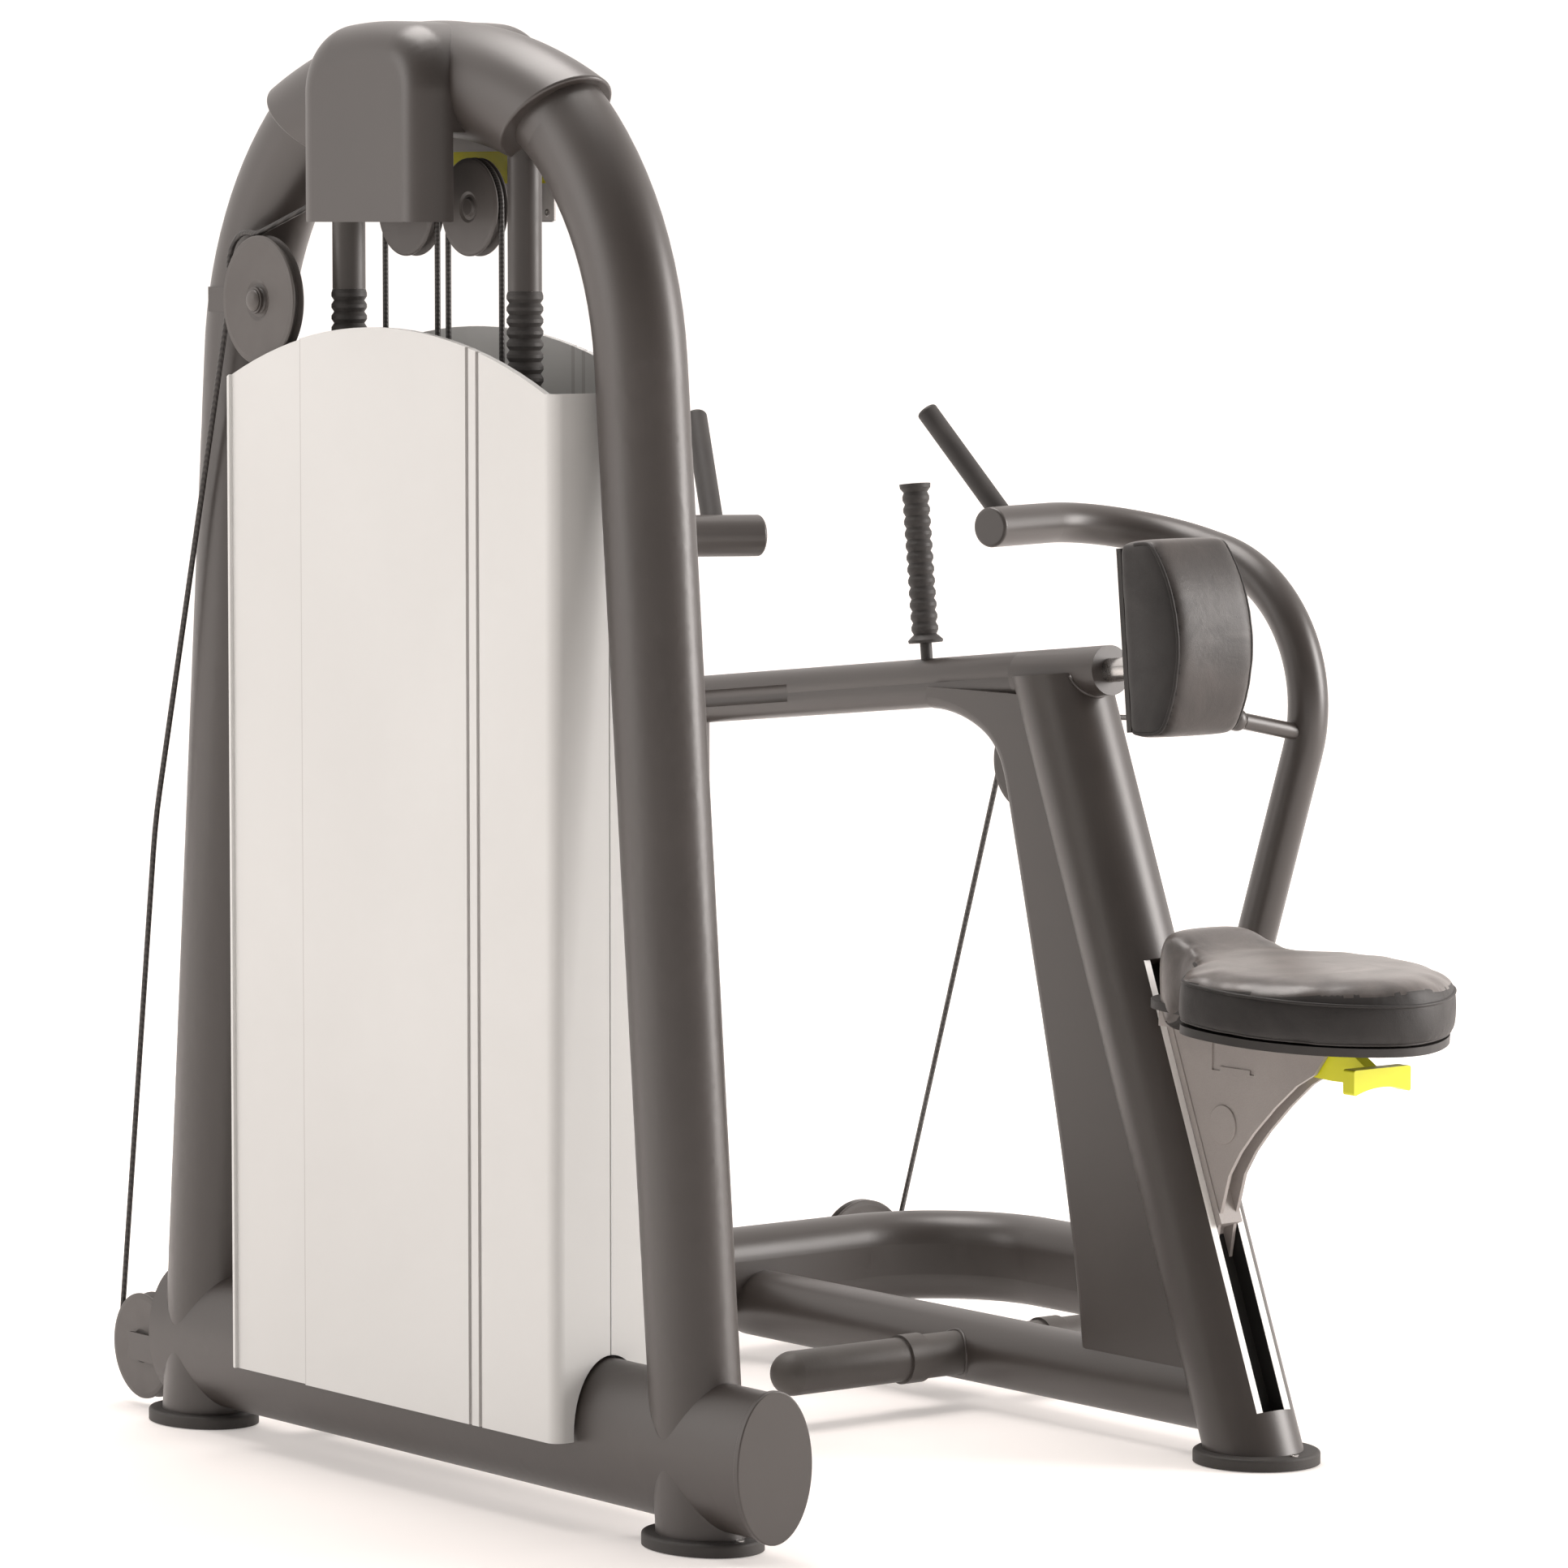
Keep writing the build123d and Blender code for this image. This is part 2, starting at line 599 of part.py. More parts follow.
def grip_post():
    """Ribbed hand post that stands on the beam."""
    points = [(0, -10), (7, -10), (7, 22), (20, 22), (21, 25), (17, 29)]
    for i in range(12):
        z = 32 + i * 14
        points += [(13.5, z), (16, z + 5), (16, z + 9)]
    points += [(14, 200), (18, 205), (18.5, 210), (0, 210)]
    return Pos(0, 592, beam_z(592) + 26) * Rot(-6.5, 0, 0) * turned(points)


def cable(points, radii):
    return tube_along(points, radii, Circle(CABLE_R),
        (1, 0, 0) if points[0][0] == points[1][0] else (0, 1, 0))


def route_length(points, radii):
    """Length of the route, for the report."""
    return FilletPolyline(*points, radius=list(radii)).length


def column_pulley_plane():
    """The column pulley is turned so that its groove points at the floor pulley."""
    x, y, z = COLUMN_PULLEY
    return Plane(origin=(x, y, z), z_dir=(1, 0, 0))


def floor_route():
    """Column pulley, under the floor pulley, along the floor and up beside the drum."""
    fx, fy, fz = FLOOR_PULLEY
    groove = FLOOR_PULLEY_R - 6 + CABLE_R
    x, y, z = COLUMN_PULLEY
    low = fz - groove
    big_y, big_z, big_r = BIG_PULLEY
    rise = big_r - 6 + CABLE_R
    start = (0, y + COLUMN_PULLEY_R - 6 + CABLE_R, z - 10)
    points = [start, (fx + groove, fy, fz + 30), (fx + groove, fy, low), (TOWER_X, fy, low)]
    clear_y = fy - 0.276 * (700 - DRUM_Z - 20)
    points += [(TOWER_X, fy, DRUM_Z + 20), (BIG_PULLEY_X + 2, clear_y, 700),
        (BIG_PULLEY_X, big_y + rise, big_z)]
    return points, [25, groove, 45, 200, 900]


def stack_route():
    """Over the shoulder pulley and the two top pulleys."""
    big_y, big_z, big_r = BIG_PULLEY
    rise = big_r - 6 + CABLE_R
    y2, z2, r2 = TOP_PULLEYS[1]
    top = z2 + r2 - 6 + CABLE_R
    points = [(BIG_PULLEY_X, big_y + rise, big_z + 3), (BIG_PULLEY_X, big_y + rise, big_z + rise + 12)]
    points += [(BIG_PULLEY_X, big_y + 12, big_z + rise + 4), (TOWER_X, y2 + 33, top + 1)]
    return points, [rise * 0.55, 30]


def save_cables():
    for name, route in (("floor_cable", floor_route()), ("shoulder_cable", stack_route())):
        points, radii = route
        body = cable(points, radii)
        save(name, body)
        print(name, "radii", radii, "length", round(route_length(points, radii)), "volume",
            round(body.volume),
              "section x length", round(math.pi * CABLE_R**2 * route_length(points, radii)))
    loops = []
    lifts = []
    low = STACK_Z0 + (PLATES_LOW + PLATES_HIGH) * PLATE_PITCH + 62.5
    for y, z, r in TOP_PULLEYS:
        groove = r - 6 + CABLE_R
        ring = Plane(origin=(TOWER_X, y, z), z_dir=(1, 0, 0)) * Torus(groove, CABLE_R)
        loops.append(ring - block((-900, y - 100, z - 100), (-700, y + 100, z)))
        for s in (-1, 1):
            lifts.append(cyl_z(low, z - 0.2, TOWER_X, y + s * groove, CABLE_R))
    save("top_cable_loops", *loops)
    save("lift_cables", *lifts)
    save("column_pulley", column_pulley_plane() * pulley(COLUMN_PULLEY_R, 18, 8.05))
    save("column_axle", cyl_x(-16.9, 16.9, COLUMN_PULLEY[1], COLUMN_PULLEY[2], 8))
    fx, fy, fz = FLOOR_PULLEY
    save("floor_pulley", Plane(origin=(fx, fy, fz), z_dir=(0, 1, 0)) * pulley(FLOOR_PULLEY_R, 18, 8.05))
    fork = cyl_y(BOW_Y + 20, fy + 16, fx, fz, 8) + cyl_y(fy + 11, fy + 15, fx, fz, 14)
    save("floor_pulley_axle", fork - bow())
    save("arm_cable", bar((TIE_END[0] - TIE_R - 4.5, TIE_END[1], TIE_END[2]), (62, 408, 812), CABLE_R))


def main():
    near_up, far_up = upright(-1), upright(1)
    bridge_solid = bridge()
    cross = cross_tube([near_up, far_up])
    save("tower_uprights", near_up, far_up)
    save("tower_cross_tube", cross)
    save("cross_tube_cap", cross_tube_cap())
    feet = [foot_plate(TOWER_X, y, 58, 76) for y in (FOOT_NEAR_Y, FOOT_FAR_Y)]
    feet.append(foot_plate(0, 0, 70, 74))
    save("foot_plates", *feet)

    rods = [cyl_z(CROSS_Z + 60, SLEEVE_Z1 + 20, TOWER_X, y, ROD_R) - bridge_solid - cross for y in ROD_Y]
    rods = [rod - near_up - far_up for rod in rods]
    save("guide_rods", *rods)
    sleeves = []
    for y in ROD_Y:
        tube = cyl_z(SLEEVE_Z0, SLEEVE_Z1 + 40, TOWER_X, y, SLEEVE_R) - cyl_z(0, 2000, TOWER_X, y, ROD_R)
        sleeves.append((tube - bridge_solid - near_up - far_up).solids().sort_by(Axis.Z)[0])
    save("rod_sleeves", *sleeves)
    save("rod_bellows", *[bellows(y) for y in ROD_Y])
    bridge_solid = save("tower_bridge", bridge_solid)
    hood_solid = hood(bridge_solid)
    for s in sleeves:
        hood_solid = hood_solid - s
    save("tower_hood", hood_solid)
    panel_x = HOOD_X1 - HOOD_FAR_WALL - 0.2
    save("hood_panel", block((panel_x - 2, HOOD_Y0 + 3, HOOD_Z0 + 1),
        (panel_x, HOOD_Y1 - 3, HOOD_CAVITY_Z - 4)))
    save("shroud_near", shroud(-1))
    save("shroud_far", shroud(1))
    save("stack_plates_low", *stack(0, PLATES_LOW))
    stem_z = STACK_Z0 + (PLATES_LOW + PLATES_HIGH) * PLATE_PITCH
    save("stack_plates_high", *stack(PLATES_LOW, PLATES_HIGH))
    stem = cyl_z(STACK_Z0 + 6, stem_z + 40, TOWER_X, TOWER_MID_Y, 10)
    pin_z = STACK_Z0 + PLATES_LOW * PLATE_PITCH + 13
    stem = stem - cyl_x(TOWER_X - 20, STACK_X1 + 40, TOWER_MID_Y, pin_z, 4.05)
    save("selector_stem", stem + cyl_z(stem_z + 40, stem_z + 62, TOWER_X, TOWER_MID_Y, 16))
    pin = cyl_x(TOWER_X - 6, STACK_X1 + 8, TOWER_MID_Y, pin_z, 4)
    save("selector_pin", pin + cyl_x(STACK_X1 + 8, STACK_X1 + 18, TOWER_MID_Y, pin_z, 11))

    for i, (y, z, r) in enumerate(TOP_PULLEYS):
        save("top_pulley_" + str(i + 1), tower_pulley(y, z, r))
    y, z, r = BIG_PULLEY
    save("shoulder_pulley", Plane(origin=(BIG_PULLEY_X, y, z), z_dir=(1, 0, 0)) * pulley(r, 18, 8.05))
    axles = [cyl_x(TOWER_X - PULLEY_W / 2, panel_x - 2.2, y, z, 8) for y, z, r in TOP_PULLEYS]
    y, z, r = BIG_PULLEY
    axle = cyl_x(BIG_PULLEY_X - 13, TOWER_X - 20, y, z, 8) + cyl_x(BIG_PULLEY_X - 13,
        BIG_PULLEY_X - 10, y, z, 15)
    strap = block((BIG_PULLEY_X + 11, y - 14, z - 14), (BIG_PULLEY_X + 17, y + 130, z + 14))
    axles.append(axle + strap - far_up)
    save("tower_axles", *axles)
    drum = Plane(origin=(TOWER_X, DRUM_Y, DRUM_Z), z_dir=(1, 0, 0)) * pulley(DRUM_R, 24, 8.05)
    save("drum_pulley", drum)
    fork = cyl_x(TOWER_X - 18, TOWER_X + 18, DRUM_Y, DRUM_Z, 8)
    for s in (-1, 1):
        x0, x1 = sorted((TOWER_X + s * 14, TOWER_X + s * 18))
        fork = fork + block((x0, 950, DRUM_Z - 16), (x1, DRUM_Y + 16, DRUM_Z + 16))
    save("drum_fork", fork - cross - far_up)

    spine = beam_bar(10, SPINE_Z, SPINE_Y1 + 20, SPINE_Z, SPINE_R)
    bow_solid = bow()
    pegs = [peg(s) for s in (-1, 1)]
    spine = spine - bow_solid
    beam_solid = beam_blank()
    rear = cyl_z(BOW_Z, BEAM_Z1 - 10, 0, BEAM_Y1 - 30, REAR_POST_R)
    d = Vector(0, BEAM_Y0 - BEAM_Y1, BEAM_Z0 - BEAM_Z1).normalized()
    mouth = Vector(0, BEAM_Y0, BEAM_Z0)
    bore = bar(tuple(mouth + d * 10), tuple(mouth - d * 170), POST_BORE_R)
    beam_solid = beam_solid - bore
    column_solid = column(spine, beam_solid)
    spine = spine - lean(cyl_z(-40, 300, 0, 0, COLUMN_R)) - block((-200, -300, -100), (200, 60, 200))
    spine = spine.solids().sort_by(Axis.Y)[-1]
    column_solid = largest(column_solid)
    save("column", column_solid - spine)
    save("floor_spine", spine)
    save("floor_bow", bow_solid)
    save("foot_pegs", *[p - spine for p in pegs])
    save("top_beam", beam_solid)
    save("rear_post", (rear - beam_solid - bow_solid).solids().sort_by(SortBy.VOLUME)[-1])
    link = cyl_x(TOWER_X, -BOW_X, LINK_Y, LINK_Z, LINK_R) - cross - bow_solid
    save("tower_link", link.solids().sort_by(SortBy.VOLUME)[-1])
    save("seat_rails", *rails())

    tube_end = mouth + d * (BEAM_Y0 - PAD_BACK_Y - 8.5)
    pad_tube = bar(tuple(mouth - d * 150), tuple(tube_end), PAD_TUBE_R)
    save("pad_tube", pad_tube)
    tilt = Pos(0, PAD_BACK_Y, PAD_Z) * Rot(PAD_TILT, 0, 0)
    backing = tilt * block((-PAD_HALF_X + 8, 0.4, -PAD_H / 2 + 8), (PAD_HALF_X - 8, 8, PAD_H / 2 - 8))
    save("pad_backing", backing - pad_tube)
    save("chest_pad", tilt * chest_pad())

    carriage_solid = carriage()
    save("seat_carriage", carriage_solid.solids().sort_by(SortBy.VOLUME)[-1])
    save("seat_base", seat_base())
    save("seat_cushion", seat_cushion())
    save("seat_lever", lever())

    arm_solid = arm(True)
    save("arm_far", arm_solid)
    save("arm_near", mirror_x(arm(False)))
    grip_solid = grip(arm_solid)
    save("grip_far", grip_solid)
    save("grip_near", mirror_x(grip_solid))
    shafts = [pivot() - bow_solid, mirror_x(pivot()) - bow_solid]
    save("arm_pivots", *shafts)
    save("grip_post", grip_post() - beam_solid)
    save_cables()


def largest(body):
    return body.solids().sort_by(SortBy.VOLUME)[-1]


main()
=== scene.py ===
import bpy
import bmesh
import json
import math
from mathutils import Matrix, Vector


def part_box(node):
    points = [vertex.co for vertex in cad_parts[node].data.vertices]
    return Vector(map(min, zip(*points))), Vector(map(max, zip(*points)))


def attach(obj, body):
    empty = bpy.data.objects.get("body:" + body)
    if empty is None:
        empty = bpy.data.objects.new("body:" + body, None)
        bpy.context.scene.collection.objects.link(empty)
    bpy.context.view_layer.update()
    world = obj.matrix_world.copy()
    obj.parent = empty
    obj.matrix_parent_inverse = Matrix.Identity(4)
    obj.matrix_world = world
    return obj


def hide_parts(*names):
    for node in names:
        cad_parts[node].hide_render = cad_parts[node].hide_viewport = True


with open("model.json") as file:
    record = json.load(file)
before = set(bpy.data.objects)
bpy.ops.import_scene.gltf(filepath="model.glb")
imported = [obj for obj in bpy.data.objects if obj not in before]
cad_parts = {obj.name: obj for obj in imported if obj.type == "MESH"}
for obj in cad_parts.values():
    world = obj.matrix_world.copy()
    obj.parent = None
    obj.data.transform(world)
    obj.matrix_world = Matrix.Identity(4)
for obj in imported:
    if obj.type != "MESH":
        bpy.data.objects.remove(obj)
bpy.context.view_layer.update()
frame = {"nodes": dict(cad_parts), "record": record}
nodes = frame["nodes"]
scene = bpy.context.scene

# Camera.
CAM_AT = (-5.0793, -5.7241, 1.3897)
CAM_TURN = (math.radians(85.302), 0.0, math.radians(-37.612))
CAM_LENS = 157.97

# Main places of the object, in metres.
TOWER_X = -0.790
SEAT_TOP = 0.565
SEAT_TURN_Y = -0.060
SEAT_TILT = math.radians(4)
SEAT_THICK = 0.060
NOSE_FROM = 0.030
NOSE_RUN = 0.070
NOSE_DROP = 0.040
REAR_CROWN = 0.010
COLUMN_R = 0.055
PEG_R = 0.026
GRIP_R = 0.013
REAR_POST_R = 0.034
PAD_MOUTH_Y = 0.171
PAD_MOUTH_Z = 0.916
PAD_SLOPE = 0.098
SHOULDER_HUB = (0.721, 1.299)
ARM_PIVOT = (0.481, 0.655, 0.100)
SLOT_HALF = 0.0158
SLOT_ENDS = (0.0455, 0.5745)
COLUMN_LEAN = math.atan(0.4)


# ------------------------------------------------------------------ materials
class Mat:
    """A small node tree with object coordinates in metres."""

    def __init__(self, name):
        self.mat = bpy.data.materials.new(name)
        self.mat.use_nodes = True
        self.tree = self.mat.node_tree
        self.shader = self.tree.nodes["Principled BSDF"]
        self.coords = self.new("ShaderNodeTexCoord").outputs["Object"]

    def new(self, kind, **props):
        node = self.tree.nodes.new(kind)
        for key, value in props.items():
            setattr(node, key, value)
        return node

    def put(self, socket, value):
        if isinstance(value, bpy.types.NodeSocket):
            self.tree.links.new(value, socket)
        else:
            socket.default_value = value
        return self

    def stretch(self, scale, turn=(0, 0, 0), place=(0, 0, 0)):
        node = self.new("ShaderNodeMapping")
        self.put(node.inputs["Vector"], self.coords)
        node.inputs["Scale"].default_value = scale
        node.inputs["Rotation"].default_value = turn
        node.inputs["Location"].default_value = place
        return node.outputs["Vector"]

    def noise(self, scale, detail=3.0, rough=0.5, vector=None, warp=0.0):
        node = self.new("ShaderNodeTexNoise")
        self.put(node.inputs["Vector"], vector or self.coords)
        node.inputs["Scale"].default_value = scale
        node.inputs["Detail"].default_value = detail
        node.inputs["Roughness"].default_value = rough
        node.inputs["Distortion"].default_value = warp
        return node.outputs["Fac"]

    def cells(self, scale, feature="DISTANCE_TO_EDGE", vector=None):
        node = self.new("ShaderNodeTexVoronoi", feature=feature)
        self.put(node.inputs["Vector"], vector or self.coords)
        node.inputs["Scale"].default_value = scale
        return node.outputs["Distance"]

    def ramp(self, value, stops):
        node = self.new("ShaderNodeValToRGB")
        self.put(node.inputs["Fac"], value)
        while len(node.color_ramp.elements) < len(stops):
            node.color_ramp.elements.new(0.5)
        for e, (at, colour) in zip(node.color_ramp.elements, stops):
            e.position = at
            e.color = (*colour, 1) if isinstance(colour, tuple) else (colour, colour, colour, 1)
        return node.outputs["Color"]

    def span(self, value, lo, hi, a, b):
        node = self.new("ShaderNodeMapRange")
        node.inputs["From Min"].default_value = lo
        node.inputs["From Max"].default_value = hi
        node.inputs["To Min"].default_value = a
        node.inputs["To Max"].default_value = b
        self.put(node.inputs["Value"], value)
        return node.outputs["Result"]

    def math(self, op, a, b=0.0):
        node = self.new("ShaderNodeMath", operation=op)
        self.put(node.inputs[0], a)
        self.put(node.inputs[1], b)
        return node.outputs[0]

    def axis(self, index):
        node = self.new("ShaderNodeSeparateXYZ")
        self.put(node.inputs[0], self.coords)
        return node.outputs[index]

    def mix(self, factor, a, b, blend="MIX"):
        node = self.new("ShaderNodeMix", data_type="RGBA", blend_type=blend)
        self.put(node.inputs[0], factor)
        self.put(node.inputs[6], (*a, 1) if isinstance(a, tuple) else a)
        self.put(node.inputs[7], (*b, 1) if isinstance(b, tuple) else b)
        return node.outputs[2]

    def bump(self, height, strength, distance, below=None):
        node = self.new("ShaderNodeBump")
        self.put(node.inputs["Height"], height)
        node.inputs["Strength"].default_value = strength
        node.inputs["Distance"].default_value = distance
        if below is not None:
            self.put(node.inputs["Normal"], below)
        return node.outputs["Normal"]

    def finish(self, **sockets):
        for name, value in sockets.items():
            key = name.replace("_", " ")
            if isinstance(value, tuple) and len(value) == 3:
                value = (*value, 1)
            self.put(self.shader.inputs[key], value)
        return self.mat


def paint(name, dark, light, rough=0.46, coat=0.12, orange_peel=0.10):
    """Powder-coated steel: faint cloudiness, fine peel and a few rubbed patches."""
    m = Mat(name)
    cloud = m.noise(3.2, 5, 0.6, warp=0.4)
    fine = m.noise(240, 2, 0.5)
    speck = m.ramp(m.noise(1100, 1, 0.4), [(0.62, 0.0), (0.72, 1.0)])
    base = m.ramp(cloud, [(0.3, dark), (0.7, light)])
    lifted = tuple(min(1.0, 1.35 * c + 0.01) for c in light)
    base = m.mix(m.math("MULTIPLY", speck, 0.16), base, lifted)
    worn = m.ramp(m.noise(7.5, 6, 0.7, warp=1.2), [(0.60, 0.0), (0.78, 1.0)])
    roughness = m.math(
        "ADD", m.span(cloud, 0.25, 0.75, rough - 0.05, rough + 0.06), m.math("MULTIPLY", worn, -0.06)
    )
    peel = m.bump(m.noise(420, 2, 0.45), orange_peel, 0.00025)
    peel = m.bump(fine, orange_peel * 0.8, 0.0004, peel)
    return m.finish(
        Base_Color=base, Roughness=roughness, Normal=peel, Coat_Weight=coat, Coat_Roughness=0.35,
        Specular_IOR_Level=0.72,
    )


def plastic(name, dark, light, rough=0.4, grain=900, bump=0.12, cloud_scale=5.0):
    m = Mat(name)
    cloud = m.noise(cloud_scale, 4, 0.55, warp=0.3)
    base = m.ramp(cloud, [(0.3, dark), (0.72, light)])
    dust_and_groove_shade = m.ramp(m.noise(60, 6, 0.75), [(0.58, 0.0), (0.8, 1.0)])
    roughness = m.math(
        "ADD",
        m.span(m.noise(35, 3, 0.6), 0.3, 0.7, rough - 0.04, rough + 0.05),
        m.math("MULTIPLY", dust_and_groove_shade, 0.05),
    )
    normal = m.bump(m.noise(grain, 2, 0.5), bump, 0.0002)
    return m.finish(Base_Color=base, Roughness=roughness, Normal=normal)


def leather(name, dark, light, rough=0.42, sheen=0.25, coat=0.0):
    """Soft upholstery: mottled sheen, pebble grain and slight creasing."""
    m = Mat(name)
    mottled = m.noise(11, 6, 0.62, warp=0.7)
    broad = m.noise(4.5, 3, 0.5, warp=0.5)
    base = m.ramp(
        mottled, [(0.32, dark), (0.55, tuple((a + b) / 2 for a, b in zip(dark, light))), (0.74, light)]
    )
    base = m.mix(m.span(broad, 0.35, 0.7, 0.0, 0.55), base, dark)
    grain = m.cells(620)
    pores = m.bump(grain, 0.28, 0.0004)
    crease = m.bump(m.noise(55, 7, 0.68, warp=1.5), 0.20, 0.0012, pores)
    soft = m.bump(mottled, 0.22, 0.004, crease)
    roughness = m.math(
        "ADD", m.span(mottled, 0.3, 0.75, rough + 0.10, rough - 0.06), m.span(grain, 0.0, 0.2, 0.05, 0.0)
    )
    m.finish(Base_Color=base, Roughness=roughness, Normal=soft, Sheen_Weight=sheen, Sheen_Roughness=0.45)
    return m.finish(Sheen_Tint=(0.75, 0.68, 0.64), Coat_Weight=coat, Coat_Roughness=0.28)


def rubber(name, dark, light, rough=0.62):
    m = Mat(name)
    cloud = m.noise(18, 5, 0.65, warp=0.5)
    base = m.ramp(cloud, [(0.3, dark), (0.75, light)])
    normal = m.bump(m.noise(700, 3, 0.6), 0.3, 0.0003)
    normal = m.bump(m.cells(260, "F1"), 0.12, 0.0004, normal)
    roughness = m.span(cloud, 0.3, 0.7, rough - 0.05, rough + 0.08)
    return m.finish(Base_Color=base, Roughness=roughness, Normal=normal)


def steel(name, tone=0.62, rough=0.2, turn=(0, 0, 0)):
    m = Mat(name)
    lines = m.noise(60, 4, 0.7, vector=m.stretch((40, 40, 1.2), turn))
    base = m.ramp(
        lines, [(0.3, (tone * 0.86, tone * 0.84, tone * 0.82)), (0.7, (tone, tone * 0.98, tone * 0.96))]
    )
    smear = m.noise(14, 4, 0.6)
    roughness = m.math(
        "ADD", m.span(lines, 0.3, 0.7, rough - 0.05, rough + 0.05), m.span(smear, 0.3, 0.7, 0.0, 0.08)
    )
    return m.finish(Base_Color=base, Metallic=1.0, Roughness=roughness, Normal=m.bump(lines, 0.08, 0.0002))


def cast(name, dark, light, rough=0.5, grain=0.35):
    """Sand-cast and painted metal."""
    m = Mat(name)
    cloud = m.noise(9, 5, 0.6, warp=0.4)
    base = m.ramp(cloud, [(0.3, dark), (0.72, light)])
    sand = m.noise(560, 3, 0.6)
    base = m.mix(m.span(sand, 0.45, 0.75, 0.0, 0.22), base, tuple(c * 0.72 for c in dark))
    normal = m.bump(sand, grain, 0.0005)
    normal = m.bump(m.cells(330, "F1"), grain * 0.4, 0.0005, normal)
    return m.finish(
        Base_Color=base, Roughness=m.span(cloud, 0.3, 0.7, rough - 0.05, rough + 0.06), Normal=normal
    )


def cable_look(name):
    """Black sheath over twisted strands."""
    m = Mat(name)
    twist = m.new("ShaderNodeTexWave", wave_type="BANDS", bands_direction="DIAGONAL")
    m.put(twist.inputs["Vector"], m.coords)
    twist.inputs["Scale"].default_value = 130
    twist.inputs["Distortion"].default_value = 0.6
    strand = twist.outputs["Fac"]
    base = m.ramp(strand, [(0.2, (0.018, 0.016, 0.015)), (0.8, (0.045, 0.040, 0.037))])
    return m.finish(
        Base_Color=base,
        Roughness=m.span(m.noise(80), 0.3, 0.7, 0.38, 0.5),
        Normal=m.bump(strand, 0.35, 0.0005),
    )


def panel_look(name):
    """Light printed panel with a plain yellow band."""
    m = Mat(name)
    paper = m.ramp(m.noise(9, 4, 0.5), [(0.3, (0.60, 0.585, 0.57)), (0.7, (0.68, 0.665, 0.65))])
    z = m.axis(2)
    band = m.math("MULTIPLY", m.math("GREATER_THAN", z, 1.428), m.math("LESS_THAN", z, 1.463))
    y = m.axis(1)
    inside = m.math("MULTIPLY", m.math("GREATER_THAN", y, 0.363), m.math("LESS_THAN", y, 0.545))
    base = m.mix(m.math("MULTIPLY", band, inside), paper, (0.80, 0.74, 0.03))
    return m.finish(
        Base_Color=base,
        Roughness=m.span(m.noise(40), 0.3, 0.7, 0.32, 0.42),
        Normal=m.bump(m.noise(500), 0.06, 0.0002),
    )


def shroud_look(name):
    """Moulded white cover: soft clouding, fine grain, and painted shade along its grooves and at its step.
    """
    m = Mat(name)
    cloud = m.noise(2.2, 4, 0.55, warp=0.3)
    base = m.ramp(cloud, [(0.3, (0.642, 0.644, 0.631)), (0.72, (0.682, 0.686, 0.674))])
    y = m.axis(1)
    # Painted shade: darker lines along the two grooves and the step of the cover.
    dust_and_groove_shade = 0.0
    for at, half in ((0.283, 0.0031), (0.302, 0.0031), (0.623, 0.0017)):
        near = m.math("LESS_THAN", m.math("ABSOLUTE", m.math("SUBTRACT", y, at)), half)
        dust_and_groove_shade = m.math("MAXIMUM", dust_and_groove_shade, near)
    base = m.mix(m.math("MULTIPLY", dust_and_groove_shade, 0.42), base, (0.34, 0.32, 0.31))
    roughness = m.span(m.noise(35, 3, 0.6), 0.3, 0.7, 0.42, 0.51)
    return m.finish(Base_Color=base, Roughness=roughness, Normal=m.bump(m.noise(700, 2, 0.5), 0.10, 0.0002))


# Near-black look for the sheets in the column's slot: painted shade.
def slot_shade_look(name):
    m = Mat(name)
    cloud = m.noise(25, 4, 0.6)
    base = m.ramp(cloud, [(0.3, (0.008, 0.0075, 0.007)), (0.7, (0.014, 0.013, 0.012))])
    return m.finish(
        Base_Color=base,
        Roughness=m.span(cloud, 0.3, 0.7, 0.55, 0.7),
        Normal=m.bump(m.noise(400), 0.2, 0.0003),
    )


